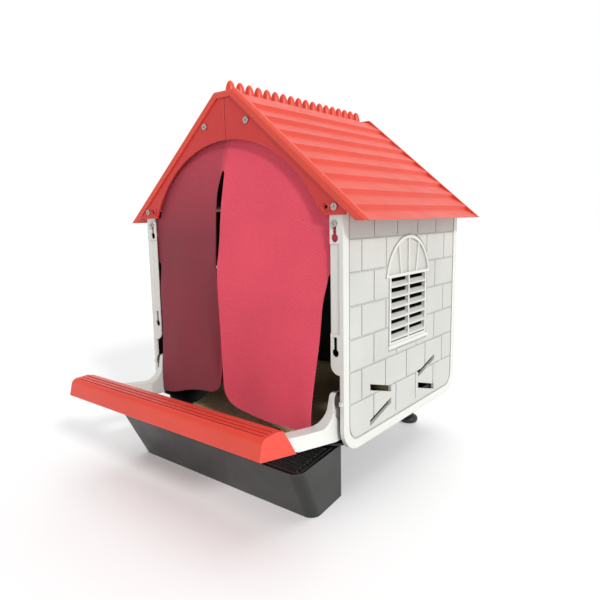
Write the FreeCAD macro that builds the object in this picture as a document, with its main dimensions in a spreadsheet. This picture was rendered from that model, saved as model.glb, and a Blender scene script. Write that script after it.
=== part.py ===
import FreeCAD, Part
import math
import os
import re
import Sketcher

# Moulded nest-box house: brick-patterned side walls, a red lapped roof with a spiked ridge, a cloth
# door, a floor pan with a fibre mat, a folding landing perch and an egg tray that slides out in front.
# +Z up, the door faces -Y. Lengths are worked out from the walls' front plane and from x = 0, the
# middle of the house; each sub-part's Placement then carries it to the frame's origin, which is under
# the middle of the whole object, on the ground.

DIMENSIONS = {
    # the frame's origin, and the overlap and play between pieces
    "origin_back": 89.72, "overlap": 1, "wall_play": 0.1, "screw_play": 0.1,
    # side walls
    "wall_half": 180, "wall_depth": 324.7, "wall_bottom": 69.4, "wall_top": 366, "wall_corner": 32,
    "sheet_thick": 3, "rim_height": 2.5, "rim_width": 12, "brick_height": 2, "brick_low": 84,
    "brick_side_gap": 2.5, "brick_rows": 6, "row_first": 128.5, "row_pitch": 40, "joint_width": 2.6,
    "joint_odd": 70, "joint_even": 41, "joint_pitch": 59, "odd_joints": 4, "odd_bands": 4,
    "even_joints": 5, "even_bands": 3, "ledge_wide": 8, "ledge_near": 40, "ledge_far": 300,
    "ledge_lift": 0.6, "nub_low": 131, "nub_high": 136, "nub_wide": 4, "nub_deep": 2.5,
    # window and X vent
    "window_mid": 163, "arch_centre": 264.6, "arch_radius": 63.4, "arch_foot": 273.5, "moulding": 4,
    "arch_proud": 0.4, "window_gap": 2.5, "sill_gap": 8, "muntin_half": 1.6, "muntin_bite": 2,
    "muntin_foot": 22, "muntin_head": 29, "muntin_rise": 0.84, "louvre_half": 54, "louvre_low": 183,
    "louvre_high": 276, "louvre_frame": 4, "head_gap": 0.5, "slats": 6, "slat_first": 189,
    "slat_pitch": 14.2, "slat_rise": 6.4, "slat_thick": 1.4, "slat_proud": 0.9, "slat_end": 3,
    "sill_past": 4, "sill_drop": 4.5, "sill_bite": 0.5, "sill_proud": 1.6,
    "vent_mid": 156, "vent_high": 115, "vent_near": 40, "vent_far": 95, "vent_rise_near": 8,
    "vent_rise_far": 24, "vent_half": 4.2,
    # door flanges and their keyholes
    "flange_edge": 161.5, "flange_thick": 2.6, "flange_low": 168, "flange_corner": 12,
    "flange_recess_low": 218, "flange_recess_high": 323, "keyhole_mid": 168, "keyhole_radius": 5,
    "keyhole_slot": 2.6, "keyhole_lower": 194.7, "keyhole_upper": 330, "keyhole_rise": 19,
    # back panel
    "back_corner": 16, "back_brick_inset": 8, "back_brick_corner": 12, "back_brick_gap": 2,
    "back_vent_near": 3, "back_vent_half": 46, "back_vent_low": 286, "back_vent_high": 5,
    "back_vents": 5, "back_vent_pitch": 12,
    # roof and ridge
    "eave_half": 216.2, "eave_high": 349.5, "ridge_half": 19.5, "ridge_high": 516.1,
    "verge_drop": 14, "roof_drop": 10, "ridge_drop": 8.6, "lap_drop": 5.8, "lap_edge": 0.4,
    "lap_rows": 9, "verge_front": 5, "verge_inner": 2.4, "verge_bevel": 3.2, "verge_back_inner": 321,
    "roof_back": 325, "spikes": 18, "spike_first": 9.4, "spike_pitch": 17.66, "spike_radius": 6.8,
    "spike_tip": 530.5, "ridge_bed": 511.4, "ridge_strip_half": 14, "ridge_strip_thick": 1.6,
    "ridge_strip_gap": 0.5,
    # gables and screws
    "gable_thick": 3, "gable_foot": 356, "gable_foot_half": 185, "gable_seam": 1.2,
    "door_radius": 165, "door_centre": 290, "gable_screw_side": 38, "gable_screw_high": 475,
    "corner_screw_side": 170.5, "corner_hole_side": 158.6, "corner_high": 365.3,
    "corner_hole_radius": 2.3, "boss_radius": 6, "boss_wall": 1.6, "boss_high": 1.8,
    "rear_vent_pitch": 16, "rear_vent_high": 435, "rear_vent_radius": 4, "screw_radius": 2,
    "screw_head_radius": 4.2, "screw_head_high": 1.8, "cross_long": 4.6, "cross_wide": 1,
    "gable_screw_reach": 3, "corner_screw_short": 0.2, "plate_screw_high": 346.4,
    "plate_screw_reach": 0.6,
    # floor pan, mat and chute
    "floor_under": 74, "floor_thick": 3, "floor_half": 173, "floor_back": 318, "floor_corner": 14,
    "floor_lip": 95, "lip_thick": 2.2, "floor_front": 3, "neck_y": 4, "neck_half": 94,
    "neck_corner": 8, "apron_half": 111, "apron_front": -40, "apron_corner": 10,
    "mat_lift": 0.2, "mat_thick": 3, "mat_half": 145, "mat_back": 313, "mat_corner": 82,
    "mat_straight": 111, "mat_shoulder": 60, "mat_neck_half": 89.6, "mat_neck_curve": 30,
    "mat_apron_half": 107, "mat_apron_corner": 5, "mat_front": -36, "egg_y": 126,
    "egg_half_wide": 24.8, "egg_half_long": 33, "egg_round": 0.85, "pan_egg_margin": 2,
    "peg_hole": 5.5, "peg_radius": 4.9, "peg_high": 84, "peg_back_y": 287, "peg_side": 130.5,
    "peg_side_y": 196, "peg_front_side": 84, "peg_front_y": -13,
    "chute_half": 62, "chute_wall": 2, "chute_back": 240, "chute_front": 36, "chute_low": 24,
    "chute_high": 58,
    # feet
    "foot_side": 108, "foot_front_y": 60, "foot_back_y": 309, "foot_radius": 15, "foot_neck": 8.5,
    "foot_puck": 11, "foot_rounding": 4.5,
    # egg tray and its lid
    "tray_low_half": 165, "tray_high_half": 169, "tray_back_half": 157.5, "tray_low_front": -41,
    "tray_high_front": -75, "tray_back": 28, "tray_high": 69, "tray_corner": 13,
    "tray_back_corner": 3, "tray_wall": 2.6, "tray_mouth_half": 66, "tray_mouth_low": 20,
    "tray_mouth_high": 60, "lid_low": 62.5, "lid_thick": 2.5, "lid_gap": 1.9, "lid_rib_first": 19,
    "lid_rib_high": 2.2, "lid_ribs": 10, "lid_rib_pitch": 8.4, "lid_rib_wide": 3.2,
    "lid_rib_margin": 13, "bead_gap": 1.6, "bead_wide": 2.4, "bead_high": 2.8,
    # landing perch
    "bar_half": 178, "bar_low_y": -88, "bar_low_z": 104.2, "bar_high_y": -108, "bar_high_z": 136,
    "bar_nose_low_y": -146, "bar_nose_low_z": 115.2, "bar_nose_high_y": -140.5,
    "bar_nose_high_z": 137.6, "bar_top_y": -118, "bar_top_z": 138.4, "bar_edge": 2, "bar_curve": 9,
    "groove_wide": 2.4, "groove_deep": 3.2, "groove_end": 5, "groove_pitch": 6.4,
    "groove_first": -133.6, "groove_count": 3, "groove_top": 140,
    "arm_root": 121, "arm_inner": 150, "arm_outer": 168.5, "arm_above": 150, "arm_past": 40,
    "bend_front": -30, "bend_back": 10, "bend_deep": 80, "fin_inner": 163, "fin_outer": 166.5,
    "fin_recess": 27, "pivot_y": 21, "pivot_z": 133, "pin_radius": 3.5, "pin_play": 0.05,
    "pin_start": 0.4, "pin_head": 2, "pin_head_thick": 1.4, "bracket_inner": 167,
    "bracket_outer": 174.1, "bracket_front": -0.5, "bracket_back": 32, "bracket_low": 126,
    "bracket_high": 144.5, "bracket_corner": 7, "bracket_play": 0.02,
    # cloth door
    "curtain_arch": 172, "curtain_arch_half": 148, "curtain_thick": 2.2, "curtain_back": 5.4,
    "curtain_step": 5, "step_fade": 50, "rim_inset": 2, "tab_half": 171, "tab_low": 292,
    "tab_high": 356, "slit_high": 417, "bulge": 33, "crest": 6, "crest_half": 26, "crest_low": 300,
    "crest_rise": 80, "crest_high": 462, "crest_fade": 50, "lean": 22, "lean_high": 245,
    "lean_fade": 140, "lean_side": 150, "fall": 9, "fall_high": 430, "fall_fade": 200,
    "left_lean": 4, "left_lean_high": 200, "left_lean_fade": 90,
}

doc = FreeCAD.newDocument("nest_house")
sheet = doc.addObject("Spreadsheet::Sheet", "Dims")
for row, (name, number) in enumerate(DIMENSIONS.items(), start=1):
    sheet.set(f"A{row}", name)
    sheet.set(f"B{row}", str(number))
    sheet.setAlias(f"B{row}", name)
doc.recompute()

FUNCTIONS = {"sqrt", "sin", "cos", "tan", "min", "max"}
NODES = []


def cells(text):
    """A formula in plain names, with each name made a reference to the spreadsheet."""
    return re.sub(r"[A-Za-z_]\w*", lambda m: m[0] if m[0] in FUNCTIONS else "Dims." + m[0], str(text))


def value(text):
    return float(sheet.evalExpression(str(text)))


def bind(obj, prop, text):
    obj.setExpression(prop, cells(text))


def node(obj, name):
    """Names a finished sub-part; its Placement takes it to the frame's origin."""
    obj.Label = name
    bind(obj, "Placement.Base.y", "-origin_back")
    NODES.append(obj)
    return obj


def new_body(name):
    return node(doc.addObject("PartDesign::Body", name + "_body"), name)


def mirror(source, name):
    """The same piece on the other side of the house."""
    twin = doc.addObject("Part::Mirroring", name + "_mirror")
    twin.Source = source
    twin.Normal = FreeCAD.Vector(1, 0, 0)
    twin.Label = name
    NODES.append(twin)
    return twin


# ---------------------------------------------------------------- sketches and features

def sketch(body, plane, offset="0"):
    """An empty sketch on one of the body's origin planes (XY, XZ or YZ), moved along its normal."""
    made = body.newObject("Sketcher::SketchObject", "sketch")
    origin_plane = [f for f in body.Origin.OriginFeatures if f.Role == plane + "_Plane"][0]
    made.AttachmentSupport = (origin_plane, "")
    made.MapMode = "FlatFace"
    bind(made, "AttachmentOffset.Base.z", offset)
    return made


def distance(sk, kind, geometry, point, text):
    index = sk.addConstraint(Sketcher.Constraint(kind, -1, 1, geometry, point, value(text)))
    bind(sk, f"Constraints[{index}]", text)


def radius(sk, geometry, text):
    index = sk.addConstraint(Sketcher.Constraint("Radius", geometry, value(text)))
    bind(sk, f"Constraints[{index}]", text)


def outline(sk, corners):
    """A closed outline through corners (u, v) or (u, v, corner radius), each a formula."""
    points = [FreeCAD.Vector(value(c[0]), value(c[1]), 0) for c in corners]
    count = len(points)
    sides = [sk.addGeometry(Part.LineSegment(points[i], points[(i + 1) % count])) for i in range(count)]
    for i, side in enumerate(sides):
        sk.addConstraint(Sketcher.Constraint("Coincident", side, 2, sides[(i + 1) % count], 1))
    for side, corner in zip(sides, corners):
        distance(sk, "DistanceX", side, 1, corner[0])
        distance(sk, "DistanceY", side, 1, corner[1])
    for i, corner in enumerate(corners):
        if len(corner) > 2:
            near_last = points[i] * 0.9 + points[i - 1] * 0.1
            near_next = points[i] * 0.9 + points[(i + 1) % count] * 0.1
            sk.fillet(sides[i - 1], sides[i], near_last, near_next, value(corner[2]), True, True)
    return sk


def rectangle(sk, u0, v0, u1, v1):
    return outline(sk, [(u0, v0), (u1, v0), (u1, v1), (u0, v1)])


def circle(sk, u, v, r):
    middle = FreeCAD.Vector(value(u), value(v), 0)
    made = sk.addGeometry(Part.Circle(middle, FreeCAD.Vector(0, 0, 1), value(r)))
    distance(sk, "DistanceX", made, 3, u)
    distance(sk, "DistanceY", made, 3, v)
    radius(sk, made, r)
    return sk


def arch(sk, u, v, r, foot):
    """A round arch about (u, v), closed by a level line at height foot."""
    half = math.sqrt(value(r) ** 2 - (value(foot) - value(v)) ** 2)
    lift = math.atan2(value(foot) - value(v), half)
    round_part = Part.Circle(FreeCAD.Vector(value(u), value(v), 0), FreeCAD.Vector(0, 0, 1), value(r))
    curve = sk.addGeometry(Part.ArcOfCircle(round_part, lift, math.pi - lift))
    left = FreeCAD.Vector(value(u) - half, value(foot), 0)
    right = FreeCAD.Vector(value(u) + half, value(foot), 0)
    base = sk.addGeometry(Part.LineSegment(left, right))
    sk.addConstraint(Sketcher.Constraint("Coincident", curve, 2, base, 1))
    sk.addConstraint(Sketcher.Constraint("Coincident", base, 2, curve, 1))
    sk.addConstraint(Sketcher.Constraint("Horizontal", base))
    distance(sk, "DistanceX", curve, 3, u)
    distance(sk, "DistanceY", curve, 3, v)
    distance(sk, "DistanceY", base, 1, foot)
    radius(sk, curve, r)
    return sk


def pad(body, sk, length, backwards=False, midplane=False):
    made = body.newObject("PartDesign::Pad", "pad")
    made.Profile = sk
    bind(made, "Length", length)
    made.Reversed = backwards
    if midplane:
        made.SideType = "Symmetric"
    doc.recompute()
    return made


def pocket(body, sk, length, backwards=False, midplane=False):
    """Cuts the sketch's outline out of the body, and makes sure that it cut something."""
    before = body.Shape.Volume
    made = body.newObject("PartDesign::Pocket", "pocket")
    made.Profile = sk
    bind(made, "Length", length)
    made.Reversed = backwards
    if midplane:
        made.SideType = "Symmetric"
    doc.recompute()
    if body.Shape.Volume >= before:
        raise RuntimeError("a pocket cuts nothing in " + body.Label)
    return made


def soften(body, kind, prop, size, chosen):
    """A fillet or chamfer on those edges of the body so far that chosen() picks."""
    solid = body.Tip
    made = body.newObject(kind, "soft_edge")
    made.Base = (solid, [f"Edge{i}" for i, edge in enumerate(solid.Shape.Edges, start=1) if chosen(edge)])
    bind(made, prop, size)
    doc.recompute()
    return made


def repeat(body, feature, axis, count, pitch):
    """Repeats a feature along one of the body's origin axes."""
    line = [f for f in body.Origin.OriginFeatures if f.Role == axis + "_Axis"][0]
    made = body.newObject("PartDesign::LinearPattern", "pattern")
    made.Originals = [feature]
    made.Direction = (line, [""])
    bind(made, "Length", f"({count} - 1) * ({pitch})")
    made.Occurrences = int(value(count))
    body.Tip = made
    doc.recompute()
    return made


# ---------------------------------------------------------------- brick-patterned walls

def brick_grooves(body, plane, face, near, far, flip):
    """Mortar grooves cut into a raised field between near and far along the wall."""
    rows = sketch(body, plane, face)
    rectangle(rows, near, "row_first - joint_width/2", far, "row_first + joint_width/2")
    repeat(body, pocket(body, rows, "brick_height", flip), "Z", "brick_rows", "row_pitch")
    for course, low in (("odd", "row_first - row_pitch"), ("even", "row_first")):
        upright = sketch(body, plane, face)
        for i in range(int(value(course + "_joints"))):
            middle = f"{near} + joint_{course} + {i}*joint_pitch - rim_width"
            rectangle(upright, f"{middle} - joint_width/2", low, f"{middle} + joint_width/2",
                      f"{low} + row_pitch")
        joints = pocket(body, upright, "brick_height", flip)
        repeat(body, joints, "Z", course + "_bands", "2*row_pitch")


def side_wall():
    """Right wall: a sheet with a raised rim, bricks, an arched window over louvres and an X vent."""
    body = new_body("right_side_wall")
    inner = "wall_half - rim_height - sheet_thick"
    face = "wall_half - rim_height"
    panel = sketch(body, "YZ", inner)
    outline(panel, [(0, "wall_bottom", "wall_corner"), ("wall_depth", "wall_bottom", "wall_corner"),
                    ("wall_depth", "wall_top"), (0, "wall_top")])
    pad(body, panel, "sheet_thick")
    rim = sketch(body, "YZ", face)
    outline(rim, [(0, "wall_bottom", "wall_corner"), ("wall_depth", "wall_bottom", "wall_corner"),
                  ("wall_depth", "wall_top"), ("wall_depth - rim_width", "wall_top"),
                  ("wall_depth - rim_width", "wall_bottom + rim_width", "wall_corner - rim_width"),
                  ("rim_width", "wall_bottom + rim_width", "wall_corner - rim_width"),
                  ("rim_width", "wall_top"), (0, "wall_top")])
    pad(body, rim, "rim_height")
    bricks = sketch(body, "YZ", face)
    near = "rim_width + brick_side_gap"
    far = f"wall_depth - ({near})"
    bend = f"wall_corner - ({near})"
    outline(bricks, [(near, "brick_low", bend), (far, "brick_low", bend), (far, "wall_top"),
                     (near, "wall_top")])
    pad(body, bricks, "brick_height")
    brick_grooves(body, "YZ", f"{face} + brick_height", "rim_width", "wall_depth - rim_width", False)
    window(body, face)
    vent = sketch(body, "YZ", "wall_half")
    for side in (-1, 1):
        inner_end = f"vent_mid + {side}*vent_near"
        outer_end = f"vent_mid + {side}*vent_far"
        for up in (-1, 1):
            low = f"vent_high + {up}*vent_rise_near"
            high = f"vent_high + {up}*vent_rise_far"
            outline(vent, [(inner_end, f"{low} - vent_half"), (outer_end, f"{high} - vent_half"),
                           (outer_end, f"{high} + vent_half"), (inner_end, f"{low} + vent_half")])
    pocket(body, vent, "3*sheet_thick")
    front_flange(body, inner)
    ledge = sketch(body, "YZ", f"{inner} - ledge_wide")
    rectangle(ledge, "ledge_near", "wall_bottom + ledge_lift", "ledge_far", "floor_under")
    pad(body, ledge, "ledge_wide")
    stop_nub = sketch(body, "XZ")
    rectangle(stop_nub, inner, "nub_low", f"{inner} + nub_wide", "nub_high")
    pad(body, stop_nub, "nub_deep")
    return body


def window(body, face):
    """Arched blind light above a louvred vent, framed and with a sill, on the outer face."""
    clear = sketch(body, "YZ", f"{face} + brick_height")
    arch(clear, "window_mid", "arch_centre", "arch_radius + window_gap", "arch_foot")
    pocket(body, clear, "brick_height")
    clear = sketch(body, "YZ", f"{face} + brick_height")
    rectangle(clear, "window_mid - louvre_half - window_gap", "louvre_low - sill_gap",
              "window_mid + louvre_half + window_gap", "arch_foot")
    pocket(body, clear, "brick_height")
    moulding = sketch(body, "YZ", face)
    arch(moulding, "window_mid", "arch_centre", "arch_radius", "arch_foot")
    arch(moulding, "window_mid", "arch_centre", "arch_radius - moulding", "arch_foot + moulding")
    pad(body, moulding, "rim_height + arch_proud")
    foot = "arch_foot + moulding - overlap"
    leaning_top = "arch_centre + arch_radius*muntin_rise"
    for lean, top in ((-1, leaning_top), (0, "arch_centre + arch_radius - muntin_bite"), (1, leaning_top)):
        muntin = sketch(body, "YZ", face)
        low = f"window_mid + {lean}*muntin_foot"
        high = f"window_mid + {lean}*muntin_head"
        outline(muntin, [(f"{low} - muntin_half", foot), (f"{low} + muntin_half", foot),
                         (f"{high} + muntin_half", top), (f"{high} - muntin_half", top)])
        pad(body, muntin, "rim_height")
    frame = sketch(body, "YZ", face)
    rectangle(frame, "window_mid - louvre_half", "louvre_low", "window_mid + louvre_half", "louvre_high")
    pad(body, frame, "rim_height")
    opening = sketch(body, "YZ", "wall_half")
    for side in (-1, 1):
        rectangle(opening, f"window_mid + {side}*muntin_half", "louvre_low + louvre_frame",
                  f"window_mid + {side}*(louvre_half - louvre_frame)", "arch_foot - head_gap")
    pocket(body, opening, "3*sheet_thick")
    slat = sketch(body, "XZ", "-(window_mid + louvre_half - slat_end)")
    front = "wall_half + slat_proud"
    back = f"{face} - sheet_thick - overlap"
    outline(slat, [(front, "slat_first"), (front, "slat_first + slat_thick"),
                   (back, "slat_first + slat_rise + slat_thick"), (back, "slat_first + slat_rise")])
    repeat(body, pad(body, slat, "2*(louvre_half - slat_end)"), "Z", "slats", "slat_pitch")
    sill = sketch(body, "YZ", face)
    rectangle(sill, "window_mid - louvre_half - sill_past", "louvre_low - sill_drop",
              "window_mid + louvre_half + sill_past", "louvre_low + sill_bite")
    pad(body, sill, "rim_height + sill_proud")


def front_flange(body, inner):
    """Inward flange at the door side, recessed between two keyhole plates."""
    flange = sketch(body, "XZ")
    outline(flange, [("flange_edge", "flange_low", "flange_corner"), (inner, "flange_low"),
                     (inner, "wall_top"), ("flange_edge", "wall_top")])
    pad(body, flange, "flange_thick", backwards=True)
    recess = sketch(body, "XZ")
    rectangle(recess, "flange_edge - overlap", "flange_recess_low", inner, "flange_recess_high")
    pocket(body, recess, "flange_thick/2")
    for hole in ("keyhole_lower", "keyhole_upper"):
        opening = sketch(body, "XZ")
        circle(opening, "keyhole_mid", hole, "keyhole_radius")
        pocket(body, opening, "flange_thick")
        slot = sketch(body, "XZ")
        rectangle(slot, "keyhole_mid - keyhole_slot", hole, "keyhole_mid + keyhole_slot",
                  f"{hole} + keyhole_rise")
        pocket(body, slot, "flange_thick")


def back_panel():
    """Rear wall between the side walls, bricked like them, with a row of vent slots near the top."""
    body = new_body("back_panel")
    half = "wall_half - rim_height - sheet_thick - wall_play"
    panel = sketch(body, "XZ", "-wall_depth + brick_height")
    outline(panel, [(f"-({half})", "wall_bottom", "back_corner"), (half, "wall_bottom", "back_corner"),
                    (half, "wall_top"), (f"-({half})", "wall_top")])
    pad(body, panel, "wall_depth - brick_height - verge_back_inner")
    bricks = sketch(body, "XZ", "-wall_depth")
    edge = f"{half} - back_brick_inset"
    top = "gable_foot - back_brick_gap"
    outline(bricks, [(f"-({edge})", "brick_low", "back_brick_corner"),
                     (edge, "brick_low", "back_brick_corner"), (edge, top), (f"-({edge})", top)])
    pad(body, bricks, "brick_height")
    brick_grooves(body, "XZ", "-wall_depth", "-wall_half + rim_width", "wall_half - rim_width", True)
    vents = sketch(body, "XZ", "-wall_depth")
    for side in (-1, 1):
        rectangle(vents, f"{side}*back_vent_near", "back_vent_low", f"{side}*back_vent_half",
                  "back_vent_low + back_vent_high")
    slots = pocket(body, vents, "wall_depth - verge_back_inner", True)
    repeat(body, slots, "Z", "back_vents", "back_vent_pitch")
    return body


# ---------------------------------------------------------------- roof

SLOPE = "(ridge_high - eave_high)/(eave_half - ridge_half)"
NEAR = 0.01


def roof_line(side, drop="0"):
    """Height of the roof's slope at a distance side from the middle, less a drop."""
    return f"ridge_high - ({side} - ridge_half)*{SLOPE} - ({drop})"


def under_corners(drop):
    """Corners of a roof section's underside, from the level cut at the eave to the middle."""
    return [("eave_half", "eave_high"), (f"eave_half - {drop}/({SLOPE})", "eave_high"),
            (f"ridge_half - ({drop} - ridge_drop)/({SLOPE})", "ridge_high - ridge_drop"),
            ("0", "ridge_high - ridge_drop")]


def on_verge(edge, eave):
    """Whether an edge runs along the top of the front verge's outer face."""
    ends = [vertex.Point for vertex in edge.Vertexes]
    front = all(abs(p.y + value("verge_front")) < NEAR for p in ends)
    high = all(abs(p.z - value(roof_line(max(p.x, value("ridge_half"))))) < NEAR for p in ends)
    return front and high and min(p.z for p in ends) > eave - NEAR


def roof_half():
    """Right half of the roof: nine lapped rows between two raised verges."""
    body = new_body("roof_right_half")
    verge = [("0", "ridge_high"), ("ridge_half", "ridge_high")] + under_corners("verge_drop")
    front = sketch(body, "XZ", "verge_front")
    outline(front, verge)
    pad(body, front, "verge_front + verge_inner", backwards=True)
    top = value(roof_line("eave_half"))
    soften(body, "PartDesign::Chamfer", "Size", "verge_bevel", lambda edge: on_verge(edge, top))
    back = sketch(body, "XZ", "-roof_back")
    outline(back, verge)
    pad(body, back, "roof_back - verge_back_inner")
    laps = [("0", "ridge_bed"), ("ridge_half", "ridge_bed")]
    run = "(eave_half - ridge_half)/lap_rows"
    for i in range(int(value("lap_rows"))):
        if i:
            upper = f"ridge_half + {i}*{run}"
            laps.append((upper, roof_line(upper, "lap_drop")))
        lower = f"ridge_half + {i + 1}*{run}"
        if i < value("lap_rows") - 1:
            laps.append((lower, roof_line(lower, "lap_edge")))
    rows = sketch(body, "XZ", "-verge_inner")
    outline(rows, laps + under_corners("roof_drop"))
    pad(body, rows, "verge_back_inner - verge_inner", backwards=True)
    return body


def ridge_strip():
    """Strip along the ridge with a single row of rounded spikes."""
    strip = doc.addObject("Part::Box", "ridge_bed_strip")
    bind(strip, "Length", "2*ridge_strip_half")
    bind(strip, "Width", "verge_back_inner - verge_inner - 2*ridge_strip_gap")
    bind(strip, "Height", "ridge_strip_thick")
    bind(strip, "Placement.Base.x", "-ridge_strip_half")
    bind(strip, "Placement.Base.y", "verge_inner + ridge_strip_gap")
    bind(strip, "Placement.Base.z", "ridge_bed")
    shapes = [strip]
    for i in range(int(value("spikes"))):
        spike = doc.addObject("Part::Ellipsoid", f"spike_{i}")
        spike.Angle1 = 0
        bind(spike, "Radius1", "spike_tip - ridge_bed - ridge_strip_thick/2")
        bind(spike, "Radius2", "spike_radius")
        bind(spike, "Radius3", "spike_radius")
        bind(spike, "Placement.Base.y", f"spike_first + {i}*spike_pitch")
        bind(spike, "Placement.Base.z", "ridge_bed + ridge_strip_thick/2")
        shapes.append(spike)
    fused = doc.addObject("Part::MultiFuse", "ridge_spikes")
    fused.Shapes = shapes
    return node(fused, "ridge_spike_strip")


def gable_outline(middle):
    """Corners of half a gable, from the middle out under the roof to the foot."""
    under = roof_line("gable_foot_half", "verge_drop")
    return [(middle, "gable_foot"), ("gable_foot_half", "gable_foot"), ("gable_foot_half", under),
            (f"ridge_half - (verge_drop - ridge_drop)/({SLOPE})", "ridge_high - ridge_drop"),
            (middle, "ridge_high - ridge_drop")]


def front_gable():
    """Right half of the red front gable, arched over the door, with its screw holes."""
    body = new_body("front_gable_right")
    plate = sketch(body, "XZ")
    outline(plate, gable_outline("gable_seam/2"))
    pad(body, plate, "gable_thick")
    door = sketch(body, "XZ", "gable_thick")
    circle(door, "0", "door_centre", "door_radius")
    pocket(body, door, "gable_thick")
    boss = sketch(body, "XZ", "gable_thick")
    circle(boss, "corner_hole_side", "corner_high", "boss_radius")
    circle(boss, "corner_hole_side", "corner_high", "boss_radius - boss_wall")
    pad(body, boss, "boss_high")
    holes = sketch(body, "XZ", "gable_thick")
    circle(holes, "gable_screw_side", "gable_screw_high", "screw_radius + screw_play")
    circle(holes, "corner_screw_side", "corner_high", "screw_radius + screw_play")
    circle(holes, "corner_hole_side", "corner_high", "corner_hole_radius")
    pocket(body, holes, "gable_thick")
    return body


def rear_gable():
    """Plain red gable behind, closing the roof space, with three round vents."""
    body = new_body("rear_gable")
    right = gable_outline("0")[1:4]
    half = "wall_half - rim_height - sheet_thick - wall_play"
    right = [(half, right[0][1]), (half, roof_line(half, "verge_drop")), right[2]]
    left = [(f"-({u})", v) for u, v in reversed(right)]
    plate = sketch(body, "XZ", "-verge_back_inner")
    outline(plate, right + left)
    pad(body, plate, "gable_thick")
    vents = sketch(body, "XZ", "-verge_back_inner + gable_thick")
    for column in (-1, 0, 1):
        circle(vents, f"{column}*rear_vent_pitch", "rear_vent_high", "rear_vent_radius")
    pocket(body, vents, "gable_thick")
    return body


def screw(name, side, high, face, length):
    """Pan-head screw whose head stands on a plane facing the front, its shank going in."""
    body = doc.addObject("PartDesign::Body", name)
    shank = sketch(body, "XZ", face)
    circle(shank, side, high, "screw_radius")
    pad(body, shank, length, backwards=True)
    head = sketch(body, "XZ", face)
    circle(head, side, high, "screw_head_radius")
    pad(body, head, "screw_head_high")
    for wide, tall in (("cross_long", "cross_wide"), ("cross_wide", "cross_long")):
        recess = sketch(body, "XZ", f"{face} + screw_head_high")
        rectangle(recess, f"{side} - {wide}/2", f"{high} - {tall}/2", f"{side} + {wide}/2",
                  f"{high} + {tall}/2")
        pocket(body, recess, "screw_head_high/2")
    return body


def group(name, bodies):
    """Identical fasteners kept in one node as separate solids."""
    made = doc.addObject("Part::Compound", name + "_group")
    made.Links = bodies
    return node(made, name)


def fasteners():
    gable = []
    plates = []
    for side in (-1, 1):
        gable.append(screw("gable_screw", f"{side}*gable_screw_side", "gable_screw_high", "gable_thick",
                           "gable_thick + gable_screw_reach"))
        gable.append(screw("corner_screw", f"{side}*corner_screw_side", "corner_high", "gable_thick",
                           "gable_thick - corner_screw_short"))
        plates.append(screw("plate_screw", f"{side}*keyhole_mid", "plate_screw_high", "0",
                            "flange_thick + plate_screw_reach"))
    group("gable_screws", gable)
    group("wall_plate_screws", plates)


# ---------------------------------------------------------------- nest floor

def floor_pan():
    """Black floor pan: flat bed, raised lip at the sides and back, neck and apron at the door."""
    body = new_body("nest_floor_pan")
    right = [("apron_half", "apron_front", "apron_corner"), ("neck_half", "floor_front", "neck_corner"),
             ("floor_half", "floor_front", "wall_corner"), ("floor_half", "floor_back", "floor_corner")]
    left = [(f"-{u}", v, r) for u, v, r in reversed(right)]
    bed = sketch(body, "XY", "floor_under")
    outline(bed, right + left)
    pad(body, bed, "floor_thick")
    lip = sketch(body, "XY", "floor_under + floor_thick")
    front = "floor_front + wall_corner"
    side = "floor_half - lip_thick"
    back = "floor_back - lip_thick"
    bend = "floor_corner - lip_thick"
    outer = [("floor_half", front), ("floor_half", "floor_back", "floor_corner"),
             ("-floor_half", "floor_back", "floor_corner"), ("-floor_half", front)]
    inner = [(f"-({side})", front), (f"-({side})", back, bend), (side, back, bend), (side, front)]
    outline(lip, outer + inner)
    pad(body, lip, "floor_lip - floor_under - floor_thick")
    egg = sketch(body, "XY", "floor_under + floor_thick")
    egg_outline(egg, "pan_egg_margin")
    pocket(body, egg, "floor_thick")
    return body


def egg_outline(sk, margin):
    """Long round hole that the egg drops through."""
    wide = f"egg_half_wide + {margin}"
    front = f"egg_y - (egg_half_long + {margin})"
    back = f"egg_y + egg_half_long + {margin}"
    curve = f"({wide})*egg_round"
    return outline(sk, [(wide, front, curve), (wide, back, curve), (f"-({wide})", back, curve),
                        (f"-({wide})", front, curve)])


PEG_PLACES = (("0", "peg_back_y"), ("peg_side", "peg_side_y"), ("-peg_side", "peg_side_y"),
              ("peg_front_side", "peg_front_y"), ("-peg_front_side", "peg_front_y"))


def nest_mat():
    """Pressed-fibre nest mat: round back, straight sides, drawn-in neck and flared front."""
    body = new_body("nest_mat")
    right = [("mat_apron_half", "mat_front", "mat_apron_corner"),
             ("mat_neck_half", "neck_y", "mat_neck_curve"),
             ("mat_half", "mat_straight", "mat_shoulder"), ("mat_half", "mat_back", "mat_corner")]
    left = [(f"-{u}", v, r) for u, v, r in reversed(right)]
    sheet_outline = sketch(body, "XY", "floor_under + floor_thick + mat_lift")
    outline(sheet_outline, right + left)
    pad(body, sheet_outline, "mat_thick")
    egg = sketch(body, "XY", "floor_under + floor_thick + mat_lift + mat_thick")
    egg_outline(egg, "0")
    for u, v in PEG_PLACES:
        circle(egg, u, v, "peg_hole")
    pocket(body, egg, "mat_thick")
    return body


def mat_pegs():
    """Five round pegs standing on the floor pan, which keep the mat in place."""
    pegs = []
    for u, v in PEG_PLACES:
        peg = doc.addObject("Part::Cylinder", "mat_peg")
        bind(peg, "Radius", "peg_radius")
        bind(peg, "Height", "peg_high - floor_under - floor_thick")
        bind(peg, "Placement.Base.x", u)
        bind(peg, "Placement.Base.y", v)
        bind(peg, "Placement.Base.z", "floor_under + floor_thick")
        pegs.append(peg)
    return group("mat_pegs", pegs)


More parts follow.
